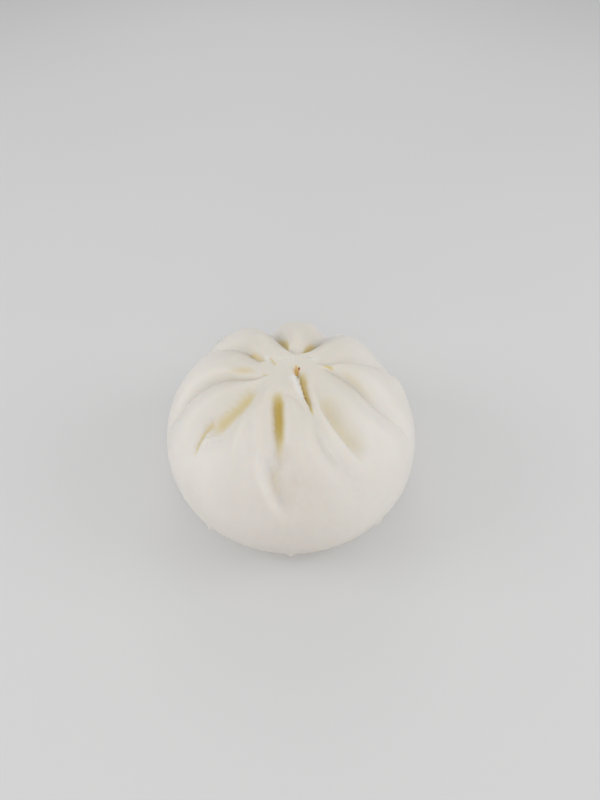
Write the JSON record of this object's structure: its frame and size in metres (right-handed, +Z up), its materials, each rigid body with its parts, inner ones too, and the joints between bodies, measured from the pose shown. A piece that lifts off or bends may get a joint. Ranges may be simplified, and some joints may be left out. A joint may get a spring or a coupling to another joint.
{
  "type": "steamed bun",
  "caption": "Round steamed bun of white dough: pleats folded up to a gathered crown with a small open tear, fading down a smooth full belly to a flat base that it rests on.",
  "frame": {"origin": "middle of the bun's footprint, on the surface it rests on: the bottom centre of its box", "axes": "+Z is up through the crown, -Y is the front that the tear runs down towards, +X is the right-hand side"},
  "size_m": [0.092, 0.092, 0.0559],
  "materials": {
    "dough": "soft satin skin"
  },
  "bodies": {
    "root": {"bun": "dough"}
  },
  "joints": []
}
